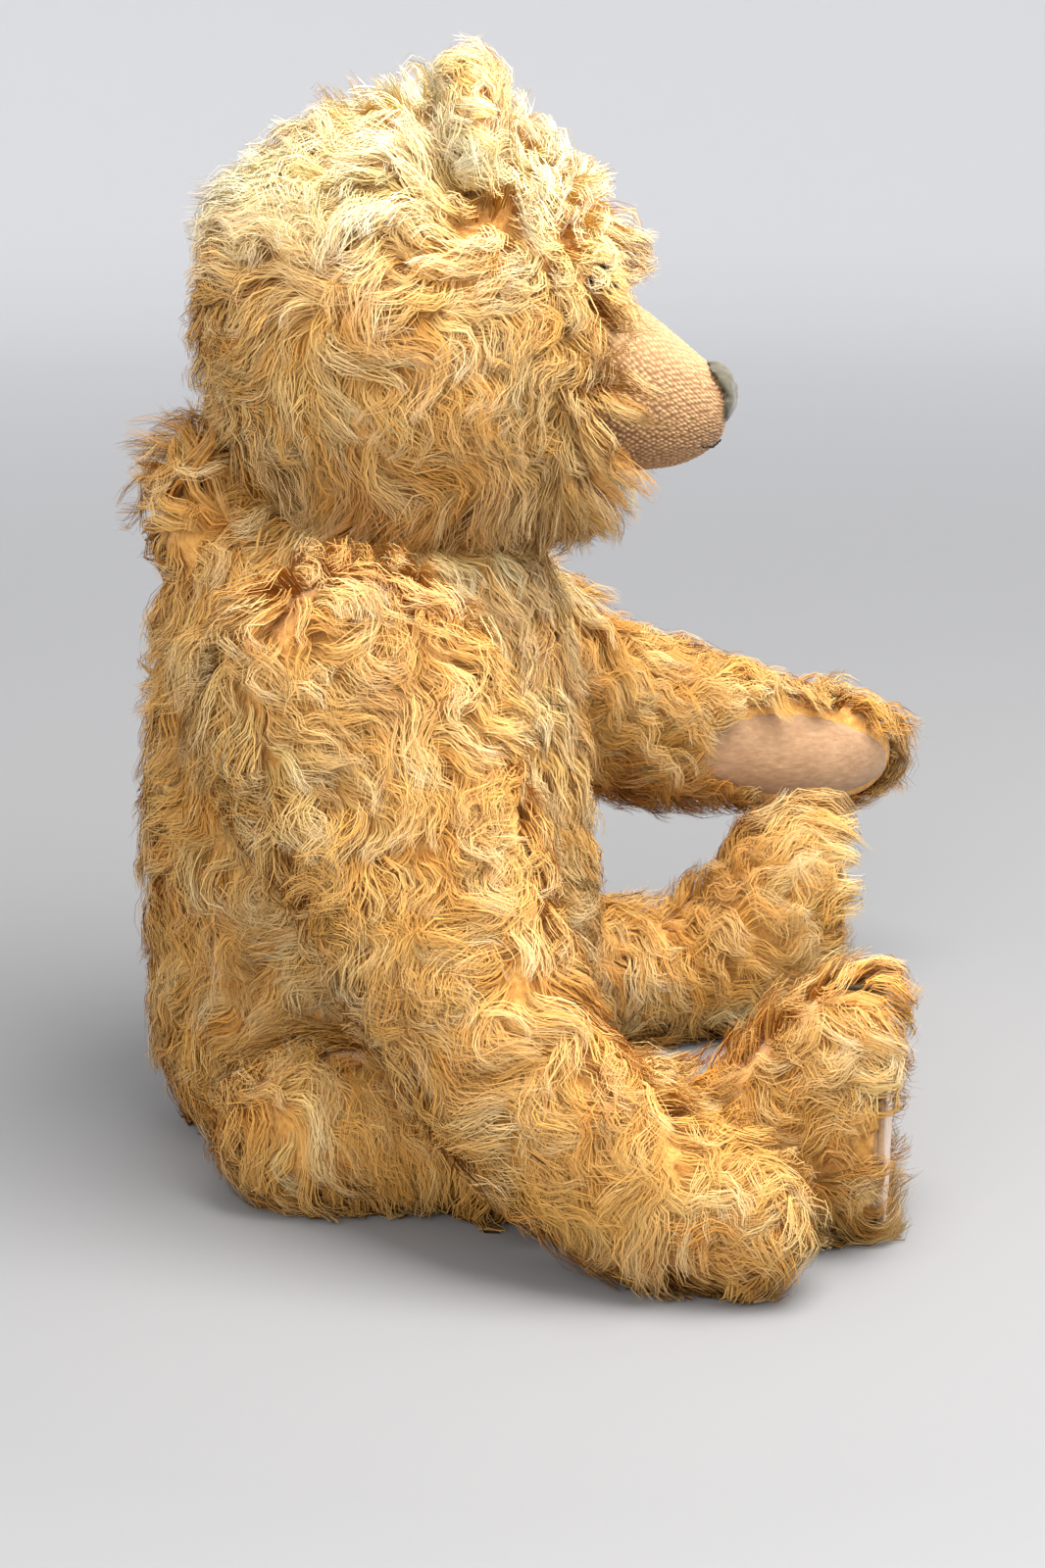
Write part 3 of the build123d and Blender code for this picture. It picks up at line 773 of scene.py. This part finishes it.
dress_cad_nodes()
SKINS = {}
for body, panels in PANELS.items():
    cover = shell(f"{body}_cloth", [*panels, FILLINGS[body]], SKIN_VOXEL, 4)
    dress(cover, GROUND)
    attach(cover, body)
    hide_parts(*panels)
    SKINS[body] = Skin(cover.data)

OTHERS = {}
for body in SKINS:
    rest = [skin.points for name, skin in SKINS.items() if name != body]
    OTHERS[body] = tree_of(np.concatenate(rest))


def seeds_on(body, spacing, bare_nodes, bare_reach, seed):
    """Where a body's locks start: all over its skin, but not on bare pieces, in the joints or underneath."""
    skin = SKINS[body]
    roots = skin.scatter(spacing, np.random.default_rng(seed))
    roots, normals = skin.near(roots)
    keep = distances(roots, OTHERS[body]) > JOINT_GAP
    keep &= ~((roots[:, 2] < UNDERSIDE) & (normals[:, 2] < -0.8))
    if bare_nodes:
        bare = tree_of(np.concatenate([node_points(node) for node in bare_nodes]))
        keep &= distances(roots, bare) > bare_reach
    return roots[keep], normals[keep]


def bend_line(body, start, bins=7):
    """The middle line of a limb, from its joint to its tip."""
    points = SKINS[body].points
    far = np.linalg.norm(points - np.array(start), axis=1)
    edges = np.linspace(0.0, far.max() * 0.995, bins + 1)
    middles = [points[(far >= low) & (far < high)].mean(0) for low, high in zip(edges[:-1], edges[1:])]
    return np.array([np.array(start), *middles[1:]])


def line_heading(points, line):
    """The direction of the nearest run of a line, at each point."""
    runs = unit(np.diff(line, axis=0))
    middles = (line[1:] + line[:-1]) / 2
    far = np.linalg.norm(points[:, None] - middles[None], axis=2)
    weight = np.exp(-((far / (18 * MM)) ** 2)) + 1e-6 / far**2
    return unit((weight[:, :, None] * runs[None]).sum(1))


def fade(values, start, end):
    """0 before start, 1 after end, and smooth between them."""
    share = np.clip((values - start) / (end - start), 0, 1)
    return share * share * (3 - 2 * share)


def nearness(points, nodes, reach):
    """1 on some CAD nodes and 0 far from them, at each point."""
    tree = tree_of(np.concatenate([node_points(node) for node in nodes]))
    return 1 - fade(distances(points, tree), *reach)


def furry_torso():
    """Fur of the body: swirling down its back and sides, with long locks standing on the hump."""
    roots, normals = seeds_on("torso", LOCK_SPACING, [], 0, 101)
    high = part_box("torso_left_panel")[1]
    top = np.array([0.0, high.y - HUMP_INSET, high.z])
    hump = 1 - fade(np.linalg.norm(roots - top, axis=1), *HUMP_REACH)
    heading = DOWN + normals * [0.0, 0.3, 0.0]
    heading = heading * (1 - hump[:, None]) + hump[:, None] * np.array([0.0, 0.2, 1.0])
    rng = np.random.default_rng(102)
    heights = (TORSO_RISE + HUMP_RISE * hump) * rng.uniform(0.5, 1.2, len(roots))
    lengths = (TORSO_LOCK + HUMP_LOCK * hump) * rng.uniform(0.85, 1.2, len(roots))
    back = fade(roots[:, 1], 0.0, high.y)
    # Paler high on the chest, as painted light from above, and less pale towards the back
    zone = 0.3 - 0.15 * back + 0.3 * fade(roots[:, 2], *CHEST_PAINTED_LIGHT) * (1 - back)
    push = -DOWN * (hump * HUMP_PUSH * rng.uniform(0.5, 1.1, len(roots)))[:, None]
    grow("torso_fur", "torso", SKINS["torso"], roots, normals, heading, heights, lengths, zone,
         OTHERS["torso"], 110, push=push)


def furry_head():
    """Fur of the head: swirling back and down from the crown, and framing the muzzle."""
    roots, normals = seeds_on("head", LOCK_SPACING * 0.94, ["muzzle"], MUZZLE_GAP, 201)
    eyes = tree_of(np.array([node_middle(f"{side}_eye") for side in SIDES]))
    eye_reach = distances(roots, eyes)
    keep = eye_reach > EYE_GAP
    roots, normals, eye_reach = roots[keep], normals[keep], eye_reach[keep]
    low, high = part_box("muzzle")
    face = low.y + 0.45 * (high.y - low.y)
    near_face = 1 - fade(roots[:, 1], face, face + FACE_REACH)
    ring = nearness(roots, ["muzzle"], RING_REACH)
    crown = fade(roots[:, 2], *CROWN_SWEEP)
    combed_back = np.array([0.0, 0.9, 0.1])
    heading = DOWN * 0.8 + crown[:, None] * combed_back + near_face[:, None] * FRONT * 0.5
    ruff = nearness(roots, ["left_ear", "right_ear"], RUFF_REACH)
    heading = heading * (1 - 0.4 * ruff[:, None]) - DOWN * 0.5 * ruff[:, None]
    rng = np.random.default_rng(202)
    cheek = 1 - fade(roots[:, 2], low.z + 0.35 * (high.z - low.z), high.z)
    ears = fade(-roots[:, 1], -0.02, 0.03) * fade(roots[:, 2], *EAR_FRONT)
    beside = fade(np.abs(roots[:, 0]), *BESIDE_REACH)
    lashes = beside * (1 - fade(eye_reach, *LASH_REACH)) * fade(roots[:, 1], face, face + 10 * MM)
    heights = HEAD_RISE + ring * (RING_RISE + CHEEK_RISE * cheek)
    heights = heights + CROWN_RISE * fade(roots[:, 2], *CROWN_TALL)
    heights = heights + EAR_FRONT_RISE * ears + LASH_RISE * lashes + RUFF_RISE * ruff
    hanging = fade(-normals[:, 2], 0.1, 0.6)
    chin = hanging * fade(-roots[:, 1], -0.01, 0.02)
    heights = heights * (1 - 0.4 * chin)
    heights = heights * MM * rng.uniform(0.55, 1.15, len(roots))
    heights = heights * (0.3 + 0.7 * np.maximum(fade(eye_reach, *EYE_REACH), beside))
    brow = (1 - fade(eye_reach, *BROW_REACH)) * (1 - beside)
    heights = heights * (1 - 0.55 * brow)
    lengths = HEAD_LOCK * (1 - 0.6 * brow) * rng.uniform(0.8, 1.2, len(roots))
    # The crown's fur is painted paler: painted light from above
    zone = 0.22 + 0.9 * fade(roots[:, 2], *CROWN_PAINTED_LIGHT) + 0.25 * near_face
    push = DOWN * (HANGING_PUSH * hanging * (1 - chin))[:, None]
    push = push + FRONT * (CHEEK_PUSH * ring * cheek)[:, None]
    grow("head_fur", "head", SKINS["head"], roots, normals, heading, heights, lengths, zone,
         OTHERS["head"], 210, swirl=1.05, curl=1.1, push=push)


def furry_ears():
    """The ears: cupped cloth with fur on both sides."""
    for number, side in enumerate(SIDES):
        node = f"{side}_ear"
        cover = shell(f"{side}_ear_cloth", [node], EAR_VOXEL, 3)
        dress(cover, GROUND)
        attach(cover, "head")
        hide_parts(node)
        skin = Skin(cover.data)
        roots = skin.scatter(EAR_LOCK_SPACING, np.random.default_rng(300 + number))
        roots, normals = skin.near(roots)
        keep = distances(roots, SKINS["head"].tree) > 2 * MM
        roots, normals = roots[keep], normals[keep]
        low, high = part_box(node)
        middle = np.array([(low.x + high.x) / 2, (low.y + high.y) / 2, low.z + 4 * MM])
        heading = unit(roots - middle) * 0.7 + np.array([0, 0.15, -0.5])
        rng = np.random.default_rng(310 + number)
        heights = EAR_RISE * rng.uniform(0.6, 1.15, len(roots))
        lengths = EAR_LOCK * rng.uniform(0.8, 1.2, len(roots))
        zone = np.full(len(roots), 0.75)
        grow(f"{side}_ear_fur", "head", skin, roots, normals, heading, heights, lengths, zone,
             SKINS["head"].tree, 320 + 100 * number,
             swirl=0.9, radius=LOCK_RADIUS * 0.85, tuft=EAR_TUFT_SPACING)


def furry_arm(side, seed):
    """Fur of an arm: along it towards the paw, and round the bare pad."""
    body = f"{side}_arm"
    roots, normals = seeds_on(body, LOCK_SPACING, [f"{side}_paw_pad"], PAD_GAP, seed)
    shoulder = JOINTS[f"{side}_shoulder"]
    line = bend_line(body, shoulder)
    heading = line_heading(roots, line) + DOWN * 0.25
    rng = np.random.default_rng(seed + 1)
    upper = 1 - fade(np.linalg.norm(roots - np.array(shoulder), axis=1), *UPPER_ARM_REACH)
    heights = (ARM_RISE + UPPER_ARM_RISE * upper) * rng.uniform(0.5, 1.25, len(roots))
    lengths = ARM_LOCK * rng.uniform(0.85, 1.2, len(roots))
    by_pad = nearness(roots, [f"{side}_paw_pad"], PAW_REACH)
    below_pad = by_pad * fade(-normals[:, 2], -0.1, 0.4)
    shoulder_top = fade(roots[:, 2] - shoulder.z, *SHOULDER_REACH)
    above_pad = by_pad * fade(normals[:, 2], 0.1, 0.6)
    heights = (heights + SHOULDER_RISE * shoulder_top + ABOVE_PAD_RISE * above_pad) * (1 - 0.75 * below_pad)
    lengths = lengths * (1 - 0.6 * by_pad)
    # Paler higher up the arm: painted light from above
    zone = 0.1 + 0.15 * fade(roots[:, 2], *ARM_PAINTED_LIGHT)
    grow(f"{body}_fur", body, SKINS[body], roots, normals, heading, heights, lengths, zone,
         OTHERS[body], seed + 10)


def furry_leg(side, seed):
    """Fur of a leg: hanging round it to the ground, with tufts over the toes."""
    body = f"{side}_leg"
    roots, normals = seeds_on(body, LOCK_SPACING, [f"{side}_sole_pad"], PAD_GAP, seed)
    hip = JOINTS[f"{side}_hip"]
    line = bend_line(body, hip)
    forward = -(roots[:, 1] - hip.y)
    foot = fade(forward, *FOOT_REACH)
    heading = line_heading(roots, line) * 0.7 + DOWN * 0.75
    heading = heading * (1 - foot[:, None]) + foot[:, None] * (FRONT * 0.6 - DOWN * 0.35)
    rng = np.random.default_rng(seed + 1)
    by_sole = nearness(roots, [f"{side}_sole_pad"], SOLE_REACH)
    low_sole = by_sole * (1 - fade(roots[:, 2], *SOLE_TOP))
    instep = fade(forward, *INSTEP_REACH) * (1 - foot) * fade(roots[:, 2], *INSTEP_TOP)
    heights = LEG_RISE + TOE_RISE * foot + INSTEP_RISE[side] * instep
    heights = heights * rng.uniform(0.5, 1.25, len(roots))
    heights = heights * (1 - 0.25 * low_sole)
    lengths = LEG_LOCK * (1 - 0.4 * low_sole) * rng.uniform(0.85, 1.2, len(roots))
    zone = 0.1 + 0.15 * foot
    grow(f"{body}_fur", body, SKINS[body], roots, normals, heading, heights, lengths, zone,
         OTHERS[body], seed + 10, curl=1.1)


furry_torso()
furry_head()
furry_ears()
furry_arm("left", 400)
furry_arm("right", 500)
furry_leg("left", 600)
furry_leg("right", 700)


# ---------------------------------------------------------------- muzzle, nose, pads, eyes and stitches

def set_points(made, points):
    """Moves an object's points."""
    made.data.vertices.foreach_set("co", points.astype(np.float32).ravel())
    made.data.update()


def cell_random(cell_one, cell_two, seed, factors):
    """A steady random number from 0 to 1 for each cell of a grid."""
    key = np.sin(cell_one * factors[0] + cell_two * factors[1] + seed) * factors[2]
    return key - np.floor(key)


def nub_heights(along, round_it, pitch, seed):
    """How high a nubby cloth stands at each place: small rounded nubs in slanting rows."""
    first = (along + round_it * 0.9) / pitch
    second = (along * 0.55 - round_it) / pitch
    best = np.zeros(len(along))
    for step_one in (-1, 0, 1):
        for step_two in (-1, 0, 1):
            cell_one = np.floor(first) + step_one
            cell_two = np.floor(second) + step_two
            jitter_one = cell_random(cell_one, cell_two, seed, (12.9898, 78.233, 43758.5453))
            jitter_two = cell_random(cell_one, cell_two, seed, (39.346, 11.135, 24634.6345))
            near_one = first - cell_one - 0.5 - (jitter_one - 0.5) * 0.45
            near_two = second - cell_two - 0.5 - (jitter_two - 0.5) * 0.45
            size = 0.33 + 0.12 * jitter_one
            nub = (0.7 + 0.3 * jitter_two) * np.exp(-((near_one**2 + near_two**2) / size**2))
            best = np.maximum(best, nub)
    return best


def nubby_muzzle():
    """The muzzle in its short nubby cloth, with every nub in the mesh."""
    made = shell("muzzle_cloth", ["muzzle", "head_stuffing"], MUZZLE_VOXEL, 3)
    low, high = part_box("muzzle")
    bm = bmesh.new()
    bm.from_mesh(made.data)
    behind = [vert for vert in bm.verts if vert.co.y > high.y - 4 * MM]
    bmesh.ops.delete(bm, geom=behind, context="VERTS")
    bm.to_mesh(made.data)
    bm.free()
    refine(made, 2)
    points, normals = points_of(made.data)
    centre = np.array([(low.x + high.x) / 2, 0.0, (low.z + high.z) / 2 - 1.5 * MM])
    radial = points - centre
    angle = np.arctan2(radial[:, 0], radial[:, 2])
    spread = np.linalg.norm(radial[:, [0, 2]], axis=1)
    round_it = angle * np.maximum(spread, 10 * MM)
    height = nub_heights(points[:, 1], round_it, NUB_PITCH, 3.0)
    top = fade(radial[:, 2] / np.maximum(spread, 1e-6), 0.2, 0.9)
    height = height * (1 - 0.45 * top)
    set_points(made, points + normals * (height * NUB_HEIGHT)[:, None])
    seam = np.exp(-((points[:, 0] / SEAM_WIDTH) ** 2)) * (radial[:, 2] < 0)
    # The colour value: nub height, plus painted light on the top, less a darker seam underneath; low values,
    # deep between the nubs, are painted shade
    nub = np.clip(height + 0.3 * top - 0.35 * seam, 0, 1)
    made.data.attributes.new("nub", "FLOAT", "POINT").data.foreach_set("value", nub.astype(np.float32))
    dress(made, MUZZLE)
    shade_smooth(made)
    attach(made, "head")
    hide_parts("muzzle")
    return made


def soft_copy(name, node, body, material, voxel, roughening, seed):
    """A felt piece in the place of its CAD node, a little uneven as felt is."""
    made = shell(name, [node], voxel, 3, 1)
    points, normals = points_of(made.data)
    uneven = wavy(points, 16 * MM, seed) * 0.6 + wavy(points, 5 * MM, seed + 1) * 0.4
    set_points(made, points + normals * (uneven * roughening)[:, None])
    dress(made, material)
    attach(made, body)
    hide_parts(node)
    return made


def tube(name, line, radius, material, body, twist, plies=2):
    """A twisted thread along a smooth line through some points."""
    line = np.array(line, float)
    steps = np.linspace(0, len(line) - 1, max(14, 10 * len(line)))
    whole = np.minimum(steps.astype(int), len(line) - 2)
    share = (steps - whole)[:, None]
    centre = line[whole] * (1 - share) + line[whole + 1] * share
    for _ in range(6):
        centre[1:-1] = (centre[:-2] + 2 * centre[1:-1] + centre[2:]) / 4
    ahead = unit(np.gradient(centre, axis=0))
    helper = np.array([0.31, 0.17, 0.94])
    across = unit(np.cross(ahead, helper))
    out = np.cross(across, ahead)
    run = np.concatenate([[0], np.cumsum(np.linalg.norm(np.diff(centre, axis=0), axis=1))])
    taper = np.sqrt(np.clip(np.minimum(run, run[-1] - run) / (2 * radius), 0.05, 1))
    points = []
    faces = []
    sides = 6
    for ply in range(plies):
        phase = 2 * pi * (run / twist + ply / plies)
        shift = across * np.cos(phase)[:, None] + out * np.sin(phase)[:, None]
        middle = centre + shift * (radius * 0.5 * taper)[:, None]
        base = sum(len(part) for part in points)
        angles = 2 * pi * np.arange(sides) / sides
        ring = across[:, None] * np.cos(angles)[None, :, None] + out[:, None] * np.sin(angles)[None, :, None]
        points.append((middle[:, None] + ring * (radius * 0.62 * taper)[:, None, None]).reshape(-1, 3))
        row = np.arange(len(centre) - 1)[:, None] * sides
        side = np.arange(sides)[None]
        after = (side + 1) % sides
        corners = np.stack([row + side, row + after, row + sides + after, row + sides + side], -1)
        faces.append(corners.reshape(-1, 4) + base)
    made = new_object(name, mesh_of(name, np.concatenate(points), np.concatenate(faces)), material)
    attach(made, body)
    return made


def dome(name, centre, facing, radius, material, body):
    """A boot-button eye: a high dome with a rolled rim and a flat back."""
    facing = Vector(facing).normalized()
    turn = facing.to_track_quat("Z", "Y").to_matrix()
    profile = [(0.0, -0.62), (0.5, -0.6), (0.8, -0.5), (0.93, -0.34), (1.0, -0.12), (0.99, 0.1),
               (0.93, 0.34), (0.8, 0.58), (0.62, 0.77), (0.4, 0.9), (0.2, 0.97), (0.0, 1.0)]
    bm = bmesh.new()
    rings = []
    segments = 40
    for across, up in profile:
        if across == 0.0:
            rings.append([bm.verts.new(Vector(centre) + turn @ Vector((0, 0, up * radius)))])
            continue
        ring = []
        for step in range(segments):
            angle = 2 * pi * step / segments
            local = Vector((across * cos(angle), across * sin(angle), up)) * radius
            ring.append(bm.verts.new(Vector(centre) + turn @ local))
        rings.append(ring)
    for lower, upper in zip(rings[:-1], rings[1:]):
        for step in range(segments):
            after = (step + 1) % segments
            if len(lower) == 1:
                bm.faces.new([lower[0], upper[after], upper[step]])
            elif len(upper) == 1:
                bm.faces.new([lower[step], lower[after], upper[0]])
            else:
                bm.faces.new([lower[step], lower[after], upper[after], upper[step]])
    mesh = bpy.data.meshes.new(name)
    bmesh.ops.recalc_face_normals(bm, faces=bm.faces)
    bm.to_mesh(mesh)
    bm.free()
    made = new_object(name, mesh, material)
    shade_smooth(made)
    refine(made, 1)
    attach(made, body)
    return made


MUZZLE_PIECE = nubby_muzzle()
NOSE_PIECE = soft_copy("nose_cap", "nose", "head", NOSE_FELT, 1.2 * MM, 0.5 * MM, 31)
nose_points = points_of(NOSE_PIECE.data)[0]
set_points(NOSE_PIECE, nose_points * [NOSE_WIDENING, 1.0, 1.0])
for side in SIDES:
    low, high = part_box(f"{side}_eye")
    eye_middle = node_middle(f"{side}_eye")
    outward = eye_middle - node_middle("head_stuffing")
    eye = dome(f"{side}_eye_button", eye_middle, outward, (high.x - low.x) / 2, EYE, "head")
    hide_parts(f"{side}_eye")
    for piece, node, limb, roughening, seed in PADS:
        soft_copy(f"{side}_{piece}", f"{side}_{node}", f"{side}_{limb}", PAD_FELT,
                  PAD_VOXEL, roughening, seed)


def mouth():
    """A stitched mouth: a short line down from the nose, two curved strokes, and a loose thread end."""
    low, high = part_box("mouth_stitches")
    skin = Skin(MUZZLE_PIECE.data)
    half = high.x
    join = (0.0, low.y + 3.0 * MM, low.z)
    routes = [[(0.0, low.y, low.z + 2 * MM), (0.0, low.y + 1.5 * MM, low.z + 1 * MM), join]]
    for sign in (-1, 1):
        middle = (sign * 0.4 * half, low.y + 4.0 * MM, low.z + 0.6 * MM)
        routes.append([join, middle, (sign * 0.75 * half, high.y - 3.0 * MM, low.z + 2.0 * MM)])
    for number, route in enumerate(routes, 1):
        places, ups = skin.near(np.array(route))
        raised = places + ups * 0.3 * MM
        tube(f"mouth_thread_{number}", raised, MOUTH_THREAD, THREAD, "head", 2.5 * MM)
    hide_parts("mouth_stitches")
    knot = np.array([0.0, high.y - 2 * MM, low.z + 0.6 * MM])
    ends = [knot, knot + np.array([0.3, 0.7, -2.0]) * MM, knot + np.array([0.8, 1.2, -4.2]) * MM]
    tube("mouth_thread_end", ends, LOOSE_THREAD, THREAD, "head", 2 * MM)


mouth()


# ---------------------------------------------------------------- stage, light and camera

def backdrop():
    """A pale round studio: level ground that curves up into a wall, wide enough for a view from any side."""
    profile = [(0.001, 0.0), (0.5, 0.0), (1.3, 0.0), (FLOOR_RADIUS, 0.0)]
    for step in range(1, CURVE_STEPS + 1):
        angle = step / CURVE_STEPS * pi / 2
        profile.append((FLOOR_RADIUS + CURVE_RADIUS * sin(angle), CURVE_RADIUS * (1 - cos(angle))))
    profile.append((FLOOR_RADIUS + CURVE_RADIUS, WALL_TOP))
    segments = STUDIO_SEGMENTS
    turns = 2 * pi * np.arange(segments) / segments
    points = [np.stack([r * np.cos(turns), r * np.sin(turns), np.full(segments, z)], 1) for r, z in profile]
    row = np.arange(len(profile) - 1)[:, None] * segments
    side = np.arange(segments)[None]
    after = (side + 1) % segments
    faces = np.stack([row + side, row + segments + side, row + segments + after, row + after], -1)
    paint = Paint("pale_studio", Specular_IOR_Level=0.15)
    place = paint.node("ShaderNodeTexCoord")
    away = paint.node("ShaderNodeVectorMath", operation="LENGTH")
    paint.link(place.outputs["Object"], away.inputs[0])
    # The studio is painted darker near the middle and paler out to the wall: painted light, making up for
    # the lamps' light falling off with distance
    distance = paint.span(away.outputs["Value"], 0.0, 1.0, 0.3, 2.6)
    tone = paint.ramp(distance, (0.0, colour(136, 136, 137)), (1.0, colour(222, 222, 224)))
    paint.bump(paint.noise(220.0), 0.1 * MM, 0.3)
    material = paint.done(tone, paint.span(paint.noise(40.0), 0.7, 0.85))
    mesh = mesh_of("pale_studio", np.concatenate(points), faces.reshape(-1, 4))
    made = new_object("pale_studio", mesh, material)


def point_at(made, place, aim):
    """Puts a light or a camera at a place, looking at a point."""
    made.location = place
    made.rotation_euler = (Vector(aim) - Vector(place)).to_track_quat("-Z", "Y").to_euler()


def lamp(name, place, aim, size, power, tint):
    """A large soft light aimed at a point."""
    light = bpy.data.lights.new(name, "AREA")
    light.shape = "RECTANGLE"
    light.size = size[0]
    light.size_y = size[1]
    light.energy = power
    light.color = tint
    point_at(new_object(name, light), place, aim)


backdrop()
for name, place, size, power, tint in LAMPS:
    lamp(name, place, LAMP_AIM, size, power, tint)
world = bpy.data.worlds.new("room")
world.use_nodes = True
world.node_tree.nodes["Background"].inputs["Color"].default_value = ROOM_TINT
world.node_tree.nodes["Background"].inputs["Strength"].default_value = ROOM_STRENGTH
bpy.context.scene.world = world
bpy.context.scene.view_settings.view_transform = "Standard"

camera = new_object("camera", bpy.data.cameras.new("camera"))
point_at(camera, CAMERA_PLACE, CAMERA_AIM)
camera.data.lens = CAMERA_LENS
camera.data.sensor_width = 36.0
camera.data.sensor_fit = "AUTO"
camera.data.dof.use_dof = False
bpy.context.scene.camera = camera
